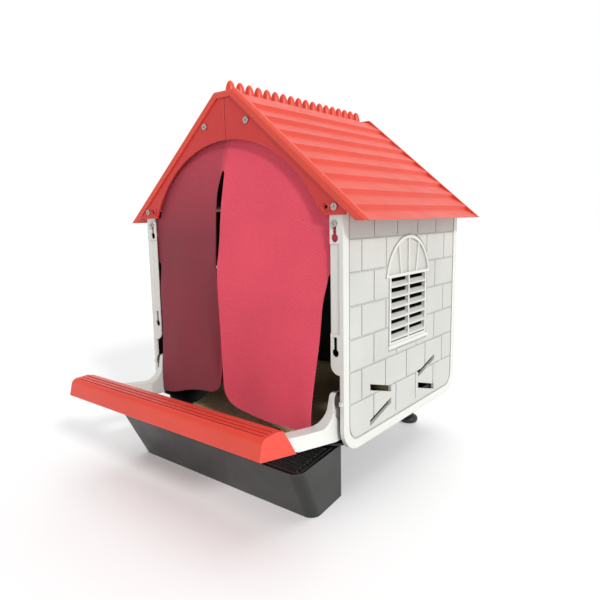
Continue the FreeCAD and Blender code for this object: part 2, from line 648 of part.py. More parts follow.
def egg_chute():
    """Sloped trough under the floor pan, down which the egg rolls to the tray."""
    body = new_body("egg_chute")
    block = sketch(body, "YZ")
    outline(block, [("chute_front", "chute_low"), ("chute_back", "chute_high"),
                    ("chute_back", "floor_under"), ("chute_front", "floor_under")])
    pad(body, block, "2*chute_half", midplane=True)
    hollow = sketch(body, "YZ")
    back = "chute_back - chute_wall"
    outline(hollow, [("chute_front - overlap", "chute_low + chute_wall"), (back, "chute_high + chute_wall"),
                     (back, "floor_under + overlap"), ("chute_front - overlap", "floor_under + overlap")])
    pocket(body, hollow, "2*(chute_half - chute_wall)", midplane=True)
    return body


def foot(name, side, along):
    """Round foot: a soft-edged puck on the ground with a slim neck up to the floor pan."""
    body = new_body(name)
    puck = sketch(body, "XY")
    circle(puck, side, along, "foot_radius")
    pad(body, puck, "foot_puck")
    soften(body, "PartDesign::Fillet", "Radius", "foot_rounding",
           lambda edge: isinstance(edge.Curve, Part.Circle))
    neck = sketch(body, "XY", "foot_puck - overlap")
    circle(neck, side, along, "foot_neck")
    pad(body, neck, "floor_under - foot_puck + overlap")
    return body


# ---------------------------------------------------------------- egg tray

def tray_section(body, level, *insets):
    """Plan section of the tray at a height: it widens and reaches forward as it rises."""
    made = sketch(body, "XY", level)
    part = f"({level})/tray_high"
    for inset in insets:
        half = f"tray_low_half + (tray_high_half - tray_low_half)*{part} - ({inset})"
        front = f"tray_low_front + (tray_high_front - tray_low_front)*{part} + {inset}"
        back = f"tray_back - ({inset})"
        back_half = f"tray_back_half - ({inset})"
        curve = f"tray_corner - ({inset})"
        outline(made, [(half, front, curve), (back_half, back, "tray_back_corner"),
                       (f"-({back_half})", back, "tray_back_corner"), (f"-({half})", front, curve)])
    return made


def loft(body, kind, low, high):
    made = body.newObject(kind, "loft")
    made.Profile = low
    made.Sections = [high]
    doc.recompute()
    return made


def egg_tray():
    """Open tray standing on the ground, undercut in front, with a mouth in its back for the chute."""
    body = new_body("egg_tray")
    loft(body, "PartDesign::AdditiveLoft", tray_section(body, "0", "0"),
         tray_section(body, "tray_high", "0"))
    loft(body, "PartDesign::SubtractiveLoft", tray_section(body, "tray_wall", "tray_wall"),
         tray_section(body, "tray_high", "tray_wall"))
    mouth = sketch(body, "XZ", "-tray_back")
    rectangle(mouth, "-tray_mouth_half", "tray_mouth_low", "tray_mouth_half", "tray_mouth_high")
    pocket(body, mouth, "2*tray_wall", midplane=True)
    return body


def tray_lid():
    """Lid sunk just inside the tray's rim, with ribs across it inside a raised bead."""
    body = new_body("egg_tray_lid")
    inset = "tray_wall + lid_gap"
    pad(body, tray_section(body, "lid_low", inset), "lid_thick")
    top = "lid_low + lid_thick"
    ribs = sketch(body, "XY", top)
    for i in range(int(value("lid_ribs"))):
        near = f"lid_rib_first - {i}*lid_rib_pitch"
        widening = f"(tray_high_half - tray_back_half)*(tray_back - ({near}))/(tray_back - tray_high_front)"
        half = f"tray_back_half + {widening} - lid_rib_margin"
        rectangle(ribs, f"-({half})", f"({near}) - lid_rib_wide", half, near)
    pad(body, ribs, "lid_rib_high")
    bead = tray_section(body, top, f"{inset} + bead_gap", f"{inset} + bead_gap + bead_wide")
    pad(body, bead, "bead_high")
    return body


# ---------------------------------------------------------------- landing perch

BAR_BACK_LEAN = "(bar_low_y - bar_high_y)/(bar_high_z - bar_low_z)"
ARM_SIDE = (("-60", "113.6", "40"), ("-18", "107", "23"), ("-5", "122", "16"), ("0", "145", "5"),
            ("31", "145", "8"), ("31", "84", "6"), ("0", "84.5", "30"), ("-72", "97.5", "20"))


def perch_bar():
    """Long landing bar: rounded front, three grip grooves on top, slanted back and flat ends."""
    body = new_body("perch_bar")
    section = sketch(body, "YZ")
    outline(section, [("bar_nose_low_y", "bar_nose_low_z", "bar_edge"),
                      ("bar_nose_high_y", "bar_nose_high_z", "bar_curve"),
                      ("bar_top_y", "bar_top_z", "bar_curve"), ("bar_high_y", "bar_high_z"),
                      ("bar_low_y", "bar_low_z")])
    pad(body, section, "2*bar_half", midplane=True)
    for i in range(int(value("groove_count"))):
        groove = sketch(body, "YZ")
        middle = f"groove_first + {i}*groove_pitch"
        rectangle(groove, f"{middle} - groove_wide/2", "bar_top_z - groove_deep",
                  f"{middle} + groove_wide/2", "groove_top")
        pocket(body, groove, "2*(bar_half - groove_end)", midplane=True)
    return body


def perch_arm():
    """Right arm: from the bar's back face to a root whose thin fin rises to the pivot."""
    body = new_body("perch_arm_right")
    side = sketch(body, "YZ", "arm_inner")
    root = (f"bar_high_y + (bar_high_z - arm_root)*{BAR_BACK_LEAN}", "arm_root")
    outline(side, [root, *ARM_SIDE, ("bar_low_y", "bar_low_z")])
    pad(body, side, "arm_outer - arm_inner")
    bend = sketch(body, "XY", "arm_above")
    outline(bend, [("arm_inner - overlap", "bend_front"), ("arm_inner", "bend_front"),
                   ("fin_inner", "bend_back"), ("fin_inner", "arm_past"),
                   ("arm_inner - overlap", "arm_past")])
    pocket(body, bend, "bend_deep")
    recess = sketch(body, "YZ", "arm_outer")
    circle(recess, "pivot_y", "pivot_z", "fin_recess")
    pocket(body, recess, "arm_outer - fin_outer")
    bore = sketch(body, "YZ", "arm_outer")
    circle(bore, "pivot_y", "pivot_z", "pin_radius + pin_play")
    pocket(body, bore, "arm_outer - arm_inner")
    return body


def pivot_bracket():
    """Dark bearing plate on the wall's inner face, with its fixed pivot pin in a bore of its own."""
    body = new_body("perch_bracket_right")
    plate = sketch(body, "YZ", "bracket_inner")
    corners = (("bracket_front", "bracket_low"), ("bracket_back", "bracket_low"),
               ("bracket_back", "bracket_high"), ("bracket_front", "bracket_high"))
    outline(plate, [(u, v, "bracket_corner") for u, v in corners])
    pad(body, plate, "bracket_outer - bracket_inner")
    bore = sketch(body, "YZ", "bracket_outer")
    circle(bore, "pivot_y", "pivot_z", "pin_radius + bracket_play")
    pocket(body, bore, "bracket_outer - bracket_inner")
    return body


def pivot_pin():
    """Steel pivot pin through the arm's fin, with a thin head inside."""
    body = new_body("perch_pivot_pin_right")
    start = "fin_inner - pin_start"
    shaft = sketch(body, "YZ", start)
    circle(shaft, "pivot_y", "pivot_z", "pin_radius")
    pad(body, shaft, f"bracket_outer - ({start})")
    head = sketch(body, "YZ", start)
    circle(head, "pivot_y", "pivot_z", "pin_radius + pin_head")
    pad(body, head, "pin_head_thick", backwards=True)
    return body


# ---------------------------------------------------------------- cloth door

def smooth(share):
    share = min(max(share, 0.0), 1.0)
    return share * share * (3 - 2 * share)


def cloth(x, z, bulge, lean):
    """Depth of the cloth's front: behind the gable at its rim, drawn forward like a tent in the middle."""
    rim = value("door_radius - rim_inset")
    reach = rim - math.hypot(x, max(z - value("door_centre"), 0))
    belly = min(max(reach / rim, 0), 1)
    step = value("curtain_step") * smooth((value("tab_low") - z) / value("step_fade")) * (1 - belly)
    crease = value("crest") * math.exp(-abs(x) / value("crest_half"))
    crease *= smooth((z - value("crest_low")) / value("crest_rise"))
    crease *= smooth((value("crest_high") - z) / value("crest_fade"))
    return value("curtain_back") - bulge * belly - step - lean - crease


def right_cloth(x, z):
    """Right flap: it also leans forward low down, most of all at its outer side."""
    low = smooth((value("lean_high") - z) / value("lean_fade"))
    lean = value("lean") * low * smooth(max(x, 0) / value("lean_side"))
    return cloth(max(x, 0), z, value("bulge"), lean)


def left_cloth(x, z):
    """Left flap: it hangs further back than the right one."""
    bulge = value("bulge") - value("fall") * smooth((value("fall_high") - z) / value("fall_fade"))
    lean = value("left_lean") * smooth((value("left_lean_high") - z) / value("left_lean_fade"))
    return cloth(min(x, 0), z, bulge, lean)


COLUMNS = 13
LEVELS = 19
CUT_REACH = 250


def steps(first, last, count):
    """Evenly spaced numbers from first to last."""
    return [first + (last - first) * i / (count - 1) for i in range(count)]


def curtain_flap(name, depth, corners):
    """A sheet at depth(x, z), cut to an outline of (x, z) corners."""
    past = value("overlap")
    xs = [x for x, z in corners]
    zs = [z for x, z in corners]
    levels = steps(min(zs) - past, max(zs) + past, LEVELS)
    surface = Part.BSplineSurface()
    surface.interpolate([[FreeCAD.Vector(x, depth(x, z), z) for z in levels]
                         for x in steps(min(xs) - past, max(xs) + past, COLUMNS)])
    slab = surface.toShape().extrude(FreeCAD.Vector(0, value("curtain_thick"), 0))
    points = [FreeCAD.Vector(x, -CUT_REACH, z) for x, z in corners]
    cutter = Part.Face(Part.makePolygon(points + points[:1])).extrude(FreeCAD.Vector(0, 2 * CUT_REACH, 0))
    made = doc.addObject("Part::Feature", name + "_cloth")
    made.Shape = slab.common(cutter).Solids[0]
    return node(made, name)


ARCH_POINTS = 9
SEAM = 0.1
RIGHT_EDGE = ((149, 245), (147.5, 100), (118, 98), (60, 100), (36, 106), (14, 124), (3, 146),
              (1, 185), (SEAM, 240))
LEFT_EDGE = ((-7, 410), (-13, 390), (-12, 350), (-10, 300), (-7, 240), (-4, 193), (-6, 146),
             (-12, 134), (-22, 124), (-32, 117), (-47, 113), (-69, 110.5), (-96, 103), (-117, 96.5),
             (-139, 92), (-149, 95), (-154, 101), (-155.5, 110), (-156, 200))


def arch_points(first, last):
    """Points of the curtain's round top between two distances from the middle."""
    centre = value("door_centre")
    reach = value("curtain_arch")
    return [(x, centre + math.sqrt(reach ** 2 - x ** 2)) for x in steps(first, last, ARCH_POINTS)]


def tab_corners():
    """Corners of the right side tab, which is held behind the gable's foot, from the top down."""
    side = value("tab_half")
    low = value("tab_low")
    high = value("tab_high")
    return [(154, high), (side - 3, high), (side, high - 3), (side, low + 4), (side - 4, low),
            (157, low - 3)]


def curtain():
    """Cloth door: one sheet slit up the middle, held as two flaps that meet above the slit."""
    end = value("curtain_arch_half")
    left_tab = [(-x, z) for x, z in reversed(tab_corners())]
    curtain_flap("curtain_right_flap", right_cloth,
                 [*arch_points(SEAM, end), *tab_corners(), *RIGHT_EDGE])
    curtain_flap("curtain_left_flap", left_cloth,
                 [*arch_points(-end, -SEAM), (-SEAM, value("slit_high")), *LEFT_EDGE, *left_tab])


# ---------------------------------------------------------------- assembly

wall = side_wall()
mirror(wall, "left_side_wall")
back_panel()
mirror(roof_half(), "roof_left_half")
ridge_strip()
mirror(front_gable(), "front_gable_left")
rear_gable()
fasteners()
floor_pan()
nest_mat()
mat_pegs()
egg_chute()
for along in ("front", "back"):
    for side, sign in (("left", "-"), ("right", "")):
        foot(f"foot_{along}_{side}", f"{sign}foot_side", f"foot_{along}_y")
egg_tray()
tray_lid()
perch_bar()
mirror(perch_arm(), "perch_arm_left")
mirror(pivot_bracket(), "perch_bracket_left")
mirror(pivot_pin(), "perch_pivot_pin_left")
curtain()
doc.recompute()

for obj in doc.Objects:
    if "Invalid" in obj.State or "Error" in obj.State:
        raise RuntimeError(f"{obj.Name} ({obj.Label}) failed: {obj.State}")
os.makedirs("parts", exist_ok=True)
for obj in NODES:
    if obj.Shape.isNull() or not obj.Shape.isValid():
        raise RuntimeError(obj.Label + " has no valid shape")
    obj.Shape.exportStep(f"parts/{obj.Label}.step")
    print(obj.Label, len(obj.Shape.Solids), round(obj.Shape.Volume))
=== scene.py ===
import math

import bmesh
import bpy
from mathutils import Matrix, Vector, noise


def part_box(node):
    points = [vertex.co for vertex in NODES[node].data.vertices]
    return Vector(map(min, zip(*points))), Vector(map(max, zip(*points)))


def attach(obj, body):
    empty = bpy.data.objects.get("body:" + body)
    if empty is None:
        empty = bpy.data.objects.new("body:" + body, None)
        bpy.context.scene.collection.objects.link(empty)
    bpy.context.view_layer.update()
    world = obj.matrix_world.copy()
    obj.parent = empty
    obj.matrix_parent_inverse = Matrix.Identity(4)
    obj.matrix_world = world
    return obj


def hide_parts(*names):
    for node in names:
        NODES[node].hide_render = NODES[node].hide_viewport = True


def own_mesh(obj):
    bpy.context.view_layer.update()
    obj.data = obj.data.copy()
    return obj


# Looks for the nest-box house: materials, cloth door, fibre mat, floor, light and camera. Metres.

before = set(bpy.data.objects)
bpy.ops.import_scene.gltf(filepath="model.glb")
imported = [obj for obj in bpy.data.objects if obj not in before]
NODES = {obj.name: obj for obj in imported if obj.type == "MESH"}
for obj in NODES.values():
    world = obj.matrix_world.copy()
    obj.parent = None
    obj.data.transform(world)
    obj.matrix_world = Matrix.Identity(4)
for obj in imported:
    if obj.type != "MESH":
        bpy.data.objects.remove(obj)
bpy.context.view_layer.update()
MM = 0.001


# ---------------------------------------------------------------- places taken from the frame

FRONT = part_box("front_gable_right")[1].y  # the walls' front plane
MAT_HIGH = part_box("nest_mat")[1]
BACK_LOW, BACK_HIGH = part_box("back_panel")
WALL_INNER = BACK_HIGH.x + 0.3 * MM       # just past the side walls' inner faces
WALL_PROUD = WALL_INNER + 5 * MM          # rim, mouldings and slats stand out past this
FLANGE_BACK = FRONT + 3.5 * MM            # just behind the door flanges
BACK_INNER = BACK_LOW.y + 0.2 * MM        # the faces inside the house end here
REAR_GABLE_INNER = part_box("rear_gable")[0].y + 1.0 * MM


# ---------------------------------------------------------------- node-tree helpers

MIX_SHARE, MIX_FIRST, MIX_SECOND = 0, 6, 7     # the Mix node's sockets for colours
MIX_RESULT = 2


def new_material(name):
    """A material with its node tree and its shader."""
    material = bpy.data.materials.new(name)
    material.use_nodes = True
    tree = material.node_tree
    return material, tree, tree.nodes["Principled BSDF"]


def is_source(setting):
    """Whether a setting is a link from a node's output, (node, output), and not a value."""
    return isinstance(setting, tuple) and isinstance(setting[0], bpy.types.Node)


def add(tree, kind, **inputs):
    """A node with its inputs set: a tuple (node, output) is a link, anything else a value."""
    made = tree.nodes.new(kind)
    for key, setting in inputs.items():
        socket = made.inputs[key.replace("_", " ")]
        if is_source(setting):
            tree.links.new(setting[0].outputs[setting[1]], socket)
        else:
            socket.default_value = setting
    return made


def ramp(tree, source, stops):
    """A colour ramp over (position, grey or colour) stops."""
    made = tree.nodes.new("ShaderNodeValToRGB")
    tree.links.new(source[0].outputs[source[1]], made.inputs["Fac"])
    elements = made.color_ramp.elements
    while len(elements) < len(stops):
        elements.new(0.5)
    for element, (place, colour) in zip(elements, stops):
        element.position = place
        element.color = (colour, colour, colour, 1) if isinstance(colour, float) else (*colour, 1)
    return made


def mix(tree, share, first, second, kind="MIX"):
    """Two colours mixed: each of share, first and second is a link (node, output) or a value."""
    made = tree.nodes.new("ShaderNodeMix")
    made.data_type = "RGBA"
    made.blend_type = kind
    for index, setting in ((MIX_SHARE, share), (MIX_FIRST, first), (MIX_SECOND, second)):
        socket = made.inputs[index]
        if is_source(setting):
            tree.links.new(setting[0].outputs[setting[1]], socket)
        else:
            socket.default_value = setting if isinstance(setting, float) else (*setting, 1)
    return made


def noise_at(tree, coords, scale, detail, rough=0.55):
    """A noise over the object's own coordinates."""
    return add(tree, "ShaderNodeTexNoise", Vector=(coords, "Object"), Scale=scale, Detail=detail,
               Roughness=rough)


def link(tree, source, target, socket):
    """A link from a source (node, output) to a socket of the target."""
    tree.links.new(source[0].outputs[source[1]], target.inputs[socket])


def clouded(tree, source, colour, low, high, spread):
    """A colour that varies between low and high times itself over a noise, across the spread."""
    stops = [tuple(min(c * share, 1) for c in colour) for share in (low, high)]
    return ramp(tree, source, list(zip(spread, stops)))


# ---------------------------------------------------------------- materials

def test_all(tree, *tests):
    """One where every test (source, LESS_THAN or GREATER_THAN, limit) holds, nought elsewhere."""
    share = None
    for source, kind, limit in tests:
        test = add(tree, "ShaderNodeMath", Value=source)
        test.operation = kind
        test.inputs[1].default_value = limit
        if share is not None:
            both = add(tree, "ShaderNodeMath", Value=(test, "Value"))
            both.operation = "MULTIPLY"
            link(tree, (share, "Value"), both, 1)
            test = both
        share = test
    return share


def places(tree, coords):
    """Distance from the middle plane and depth, as sources."""
    parts = add(tree, "ShaderNodeSeparateXYZ", Vector=(coords, "Object"))
    side = add(tree, "ShaderNodeMath", Value=(parts, "X"))
    side.operation = "ABSOLUTE"
    return (side, "Value"), (parts, "Y")


INSIDE_PAINTED_SHADE = (0.004, 0.004, 0.004)       # painted shade: the faces inside the house are painted near black
FACES_DOWN = -0.2                         # a face looks down when its normal's z is below this
CLOUD_SCALE = 9.0                         # noise scales, per metre: slow drift of the colour,
SMEAR_SCALE = 26.0                        # patches of more and less gloss,
SPECK_SCALE = 420.0                       # specks,
MOULD_SCALE = 1500.0                      # and the mould's grain
SPECKS = [(0.35, 0.965), (0.65, 1.0)]
EDGE_HIGHLIGHT = [(0.80, 1.0), (0.98, 0.0)]         # painted highlight where the softened normal turns from the true one
EDGE_HIGHLIGHT_PALER = 0.6
GLOSSIER, DULLER = 0.06, 0.08             # how far the roughness varies either way
BEVEL_SAMPLES = 4
GRAIN_DEEP = 0.15 * MM
STREAK_DEEP = 0.8 * MM
STREAK_STRENGTH = 0.35


def plastic(name, colour, rough, edge, grain, streaks=None, bevel=0.7, painted_shade_reach=0, raised_and_front_paler=None,
            underside=False):
    """Moulded plastic: slightly uneven colour, mould grain, and softened edges with a painted
    highlight.

    edge is how far a painted highlight turns the edges paler, grain how strong the mould's grain
    is, streaks the noise scale of flow marks along each axis, and bevel the radius of softened
    edges in mm.

    raised_and_front_paler is a paler colour for the raised faces of the walls, and a painted
    highlight on their front edges. painted_shade_reach is how far back the inside of the house is
    painted near black as painted shade, and with underside only the faces that look down get that
    painted shade.
    """
    material, tree, shader = new_material(name)
    coords = tree.nodes.new("ShaderNodeTexCoord")
    cloud = noise_at(tree, coords, CLOUD_SCALE, 4.0)
    tone = clouded(tree, (cloud, "Fac"), colour, 0.93, 1.05, (0.3, 0.7))
    speck = noise_at(tree, coords, SPECK_SCALE, 2.0)
    fine = ramp(tree, (speck, "Fac"), SPECKS)
    base = mix(tree, 1.0, (tone, "Color"), (fine, "Color"), "MULTIPLY")
    softened = tree.nodes.new("ShaderNodeBevel")
    softened.samples = BEVEL_SAMPLES
    softened.inputs["Radius"].default_value = bevel * MM
    geometry = tree.nodes.new("ShaderNodeNewGeometry")
    turn = add(tree, "ShaderNodeVectorMath")
    turn.operation = "DOT_PRODUCT"
    link(tree, (softened, "Normal"), turn, 0)
    link(tree, (geometry, "Normal"), turn, 1)
    # Painted highlight: the edges turn paler where the bevel's normal leaves the true one.
    edge_highlight = ramp(tree, (turn, "Value"), EDGE_HIGHLIGHT)
    share = add(tree, "ShaderNodeMath", Value=(edge_highlight, "Color"))
    share.operation = "MULTIPLY"
    share.inputs[1].default_value = edge
    paler = tuple(c + (1 - c) * EDGE_HIGHLIGHT_PALER for c in colour)
    base = mix(tree, (share, "Value"), (base, MIX_RESULT), paler)
    side, depth = places(tree, coords)
    # The raised faces are painted paler, and the front edges get a painted highlight.
    if raised_and_front_paler:
        for test in ((side, "GREATER_THAN", WALL_PROUD), (depth, "LESS_THAN", FLANGE_BACK)):
            base = mix(tree, (test_all(tree, test), "Value"), (base, MIX_RESULT), raised_and_front_paler)
    # Painted shade: the faces inside the house, and with underside only those that look down, are
    # painted near black.
    if painted_shade_reach:
        tests = [(side, "LESS_THAN", WALL_PROUD if underside else WALL_INNER),
                 (depth, "GREATER_THAN", FLANGE_BACK), (depth, "LESS_THAN", painted_shade_reach)]
        if underside:
            facing = add(tree, "ShaderNodeSeparateXYZ", Vector=(geometry, "True Normal"))
            tests.append(((facing, "Z"), "LESS_THAN", FACES_DOWN))
        inside = test_all(tree, *tests)
        base = mix(tree, (inside, "Value"), (base, MIX_RESULT), INSIDE_PAINTED_SHADE)
    link(tree, (base, MIX_RESULT), shader, "Base Color")
    smear = noise_at(tree, coords, SMEAR_SCALE, 5.0)
    gloss = ramp(tree, (smear, "Fac"), [(0.3, rough - GLOSSIER), (0.75, rough + DULLER)])
    link(tree, (gloss, "Color"), shader, "Roughness")
    mould = noise_at(tree, coords, MOULD_SCALE, 2.0)
    bump = add(tree, "ShaderNodeBump", Strength=grain, Distance=GRAIN_DEEP, Height=(mould, "Fac"),
               Normal=(softened, "Normal"))
    if streaks:
        stretch = add(tree, "ShaderNodeMapping", Vector=(coords, "Object"))
        stretch.inputs["Scale"].default_value = streaks
        flow = tree.nodes.new("ShaderNodeTexNoise")
        flow.inputs["Scale"].default_value = 1.0
        link(tree, (stretch, "Vector"), flow, "Vector")
        bump = add(tree, "ShaderNodeBump", Strength=STREAK_STRENGTH, Distance=STREAK_DEEP,
                   Height=(flow, "Fac"), Normal=(bump, "Normal"))
    link(tree, (bump, "Normal"), shader, "Normal")
    return material


STEEL_SPOTS = 700.0
STEEL_TONES = [(0.3, (0.26, 0.24, 0.21)), (0.7, (0.58, 0.55, 0.50))]
STEEL_GLOSS = [(0.3, 0.22), (0.7, 0.42)]
STEEL_BEVEL = 0.4 * MM


def steel():
    """Zinc-plated screw steel: mottled, and glossier in spots."""
    material, tree, shader = new_material("steel")
    coords = tree.nodes.new("ShaderNodeTexCoord")
    spots = noise_at(tree, coords, STEEL_SPOTS, 3.0)
    tone = ramp(tree, (spots, "Fac"), STEEL_TONES)
    link(tree, (tone, "Color"), shader, "Base Color")
    shader.inputs["Metallic"].default_value = 1.0
    gloss = ramp(tree, (spots, "Fac"), STEEL_GLOSS)
    link(tree, (gloss, "Color"), shader, "Roughness")
    softened = tree.nodes.new("ShaderNodeBevel")
    softened.inputs["Radius"].default_value = STEEL_BEVEL
    link(tree, (softened, "Normal"), shader, "Normal")
    return material


LEFT_FLAP_SHADE_TOP = 0.74                      # painted shade: the left flap is painted darker than the right,
LEFT_FLAP_SHADE_LOW = 0.36                      # most of all low down
PAINTED_SHADE_HEIGHTS = {"From_Min": 0.46, "From_Max": 0.33}      # the painted shade deepens between these heights
PAINTED_SHADE_EDGE = {"From_Min": -0.012, "From_Max": 0.002}     # and the painted shade ends here, over the slit
CLOTH_CLOUD = 16.0
FLECK_SCALE = 380.0
FLECKS = [(0.36, 0.92), (0.52, 0.98), (0.66, 1.0)]
LINT_SCALE = 900.0
LINT_SHARE = [(0.60, 0.0), (0.72, 0.12)]
LINT = (0.92, 0.34, 0.42)
CLOTH_ROUGH = 0.86
SHEEN = {"Weight": 0.12, "Roughness": 0.45, "Tint": (1.0, 0.55, 0.62, 1)}
TWILL = {"Scale": 85.0, "Distortion": 3.0, "Detail": 2.0, "Detail Scale": 2.5}
TWILL_SLANT = 62                          # degrees
TWILL_LINES = [(0.1, 0.93), (0.6, 1.0)]
TWILL_DEEP = 0.35 * MM
TWILL_STRENGTH = 0.45


def cloth(name, colour):
    """Crimson door cloth: fine twill grain, flecked colour, a soft sheen and painted shade on the
    left flap.
    """
    material, tree, shader = new_material(name)
    coords = tree.nodes.new("ShaderNodeTexCoord")
    cloud = noise_at(tree, coords, CLOTH_CLOUD, 4.0)
    tone = clouded(tree, (cloud, "Fac"), colour, 0.95, 1.04, (0.3, 0.72))
    fleck = noise_at(tree, coords, FLECK_SCALE, 4.0, 0.7)
    spots = ramp(tree, (fleck, "Fac"), FLECKS)
    base = mix(tree, 1.0, (tone, "Color"), (spots, "Color"), "MULTIPLY")
    lint = noise_at(tree, coords, LINT_SCALE, 2.0, 0.8)
    pale = ramp(tree, (lint, "Fac"), LINT_SHARE)
    base = mix(tree, (pale, "Color"), (base, MIX_RESULT), LINT)
    # Painted shade: the left flap is darkened, most of all low down.
    parts = add(tree, "ShaderNodeSeparateXYZ", Vector=(coords, "Object"))
    low = add(tree, "ShaderNodeMapRange", Value=(parts, "Z"), **PAINTED_SHADE_HEIGHTS)
    shade = ramp(tree, (low, "Result"), [(0.0, LEFT_FLAP_SHADE_TOP), (1.0, LEFT_FLAP_SHADE_LOW)])
    side = add(tree, "ShaderNodeMapRange", Value=(parts, "X"), **PAINTED_SHADE_EDGE)
    left = mix(tree, (side, "Result"), (shade, "Color"), (1.0, 1.0, 1.0))
    base = mix(tree, 1.0, (base, MIX_RESULT), (left, MIX_RESULT), "MULTIPLY")
    shader.inputs["Roughness"].default_value = CLOTH_ROUGH
    for key, setting in SHEEN.items():
        shader.inputs["Sheen " + key].default_value = setting
    turned = add(tree, "ShaderNodeMapping", Vector=(coords, "Object"))
    turned.inputs["Rotation"].default_value = (0, math.radians(TWILL_SLANT), 0)
    twill = tree.nodes.new("ShaderNodeTexWave")
    twill.bands_direction = "X"
    for key, setting in TWILL.items():
        twill.inputs[key].default_value = setting
    link(tree, (turned, "Vector"), twill, "Vector")
    lines = ramp(tree, (twill, "Fac"), TWILL_LINES)
    base = mix(tree, 1.0, (base, MIX_RESULT), (lines, "Color"), "MULTIPLY")
    link(tree, (base, MIX_RESULT), shader, "Base Color")
    height = mix(tree, 0.5, (twill, "Color"), (fleck, "Color"))
    bump = add(tree, "ShaderNodeBump", Strength=TWILL_STRENGTH, Distance=TWILL_DEEP,
               Height=(height, MIX_RESULT))
    link(tree, (bump, "Normal"), shader, "Normal")
    return material


FIBRE_TONES = [(0.32, (0.36, 0.23, 0.10)), (0.48, (0.60, 0.45, 0.24)), (0.66, (0.80, 0.66, 0.42))]
STRAND_SCALE = 260.0
STRANDS_MATTED = 1.2                      # how far the strands' noise is distorted
FIBRE_CLOUD = 30.0
FIBRE_SHADES = [(0.3, 0.88), (0.7, 1.0)]
FIBRE_ROUGH = 0.95
FIBRE_DEEP = 0.5 * MM
FIBRE_STRENGTH = 0.7


def fibre(name):
    """Pressed tan fibre: matted strands, dark and pale flecks."""
    material, tree, shader = new_material(name)
    coords = tree.nodes.new("ShaderNodeTexCoord")
    strands = noise_at(tree, coords, STRAND_SCALE, 6.0, 0.75)
    strands.inputs["Distortion"].default_value = STRANDS_MATTED
    tone = ramp(tree, (strands, "Fac"), FIBRE_TONES)
    cloud = noise_at(tree, coords, FIBRE_CLOUD, 3.0)
    shade = ramp(tree, (cloud, "Fac"), FIBRE_SHADES)
    base = mix(tree, 1.0, (tone, "Color"), (shade, "Color"), "MULTIPLY")
    link(tree, (base, MIX_RESULT), shader, "Base Color")
    shader.inputs["Roughness"].default_value = FIBRE_ROUGH
    bump = add(tree, "ShaderNodeBump", Strength=FIBRE_STRENGTH, Distance=FIBRE_DEEP,
               Height=(strands, "Fac"))
    link(tree, (bump, "Normal"), shader, "Normal")
    return material


def paint(material, *names):
    """Gives CAD nodes a material in place of their own."""
    for name in names:
        mesh = NODES[name].data
        mesh.materials.clear()
        mesh.materials.append(material)


def shade_smooth(obj, angle):
    """Smooth shading with sharp edges where the faces turn by more than angle."""
    for polygon in obj.data.polygons:
        polygon.use_smooth = True
    made = bmesh.new()
    made.from_mesh(obj.data)
    limit = math.radians(angle)
    for edge in made.edges:
        edge.smooth = len(edge.link_faces) == 2 and edge.calc_face_angle(0) < limit
    made.to_mesh(obj.data)
    made.free()


# ---------------------------------------------------------------- cut-out sheets

ON_THE_LINE = 0.02                        # a point this near to a grid line lies on it,
ONE_POINT = 0.03                          # and two this near are one, in shares of the grid's step


def cut_sheet(outline, holes, step, place):
    """A flat outline of (u, v) points with holes, cut by a grid and set in space by place(u, v)."""
    mesh = bmesh.new()
    edges = []
    for loop in [outline] + holes:
        corners = [mesh.verts.new((u, v, 0)) for u, v in loop]
        edges += [mesh.edges.new((corners[i - 1], corners[i])) for i in range(len(corners))]
    bmesh.ops.triangle_fill(mesh, edges=edges, use_beauty=True)
    for axis, across in enumerate((Vector((1, 0, 0)), Vector((0, 1, 0)))):
        reach = [point[axis] for point in outline]
        line = math.ceil(min(reach) / step) * step
        while line < max(reach):
            parts = mesh.verts[:] + mesh.edges[:] + mesh.faces[:]
            bmesh.ops.bisect_plane(mesh, geom=parts, plane_co=across * line, plane_no=across,
                                   dist=step * ON_THE_LINE)
            line += step
    bmesh.ops.remove_doubles(mesh, verts=mesh.verts, dist=step * ONE_POINT)
    bmesh.ops.recalc_face_normals(mesh, faces=mesh.faces)
    for vert in mesh.verts:
        vert.co = place(vert.co.x, vert.co.y)
    return mesh


def as_object(mesh, name, material):
    """The mesh as an object in the scene, with its material."""
    data = bpy.data.meshes.new(name)
    mesh.to_mesh(data)
    mesh.free()
    made = bpy.data.objects.new(name, data)
    bpy.context.scene.collection.objects.link(made)
    data.materials.append(material)
    return made


def thicken(obj, thickness, offset):
    """Gives a sheet its thickness and applies it."""
    solid = obj.modifiers.new("thickness", "SOLIDIFY")
    solid.thickness = thickness
    solid.offset = offset
    bpy.context.view_layer.objects.active = obj
    bpy.ops.object.modifier_apply(modifier=solid.name)


MOST_OF_SIDE = 0.48                       # a corner's rounding takes up no more of either side


def rounded(corners, steps=7):
    """An outline of corners (u, v, reach), each rounded along that reach of its two sides."""
    out = []
    count = len(corners)
    points = [Vector((u, v)) for u, v, reach in corners]
    for i, corner in enumerate(points):
        before = points[i - 1] - corner
        after = points[(i + 1) % count] - corner
        reach = min(corners[i][2], before.length * MOST_OF_SIDE, after.length * MOST_OF_SIDE)
        if reach <= 0:
            out.append(tuple(corner))
            continue
        start = corner + before.normalized() * reach
        end = corner + after.normalized() * reach
        for k in range(steps + 1):
            share = k / steps
            left = 1 - share
            out.append(tuple(start * left ** 2 + corner * 2 * share * left + end * share ** 2))
    return out


def mirrored(corners):
    """The corners of the left side, in the order that carries an outline on from the right one."""
    return [(-u, v, reach) for u, v, reach in reversed(corners)]


def smooth(share):
    """An even rise from 0 to 1 as the share goes from 0 to 1, flat at both ends."""
    share = min(max(share, 0.0), 1.0)
    return share * share * (3 - 2 * share)


def below(z, start, span):
    """0 at height start and above, rising to 1 at a span below it."""
    return smooth((start - z) / span)


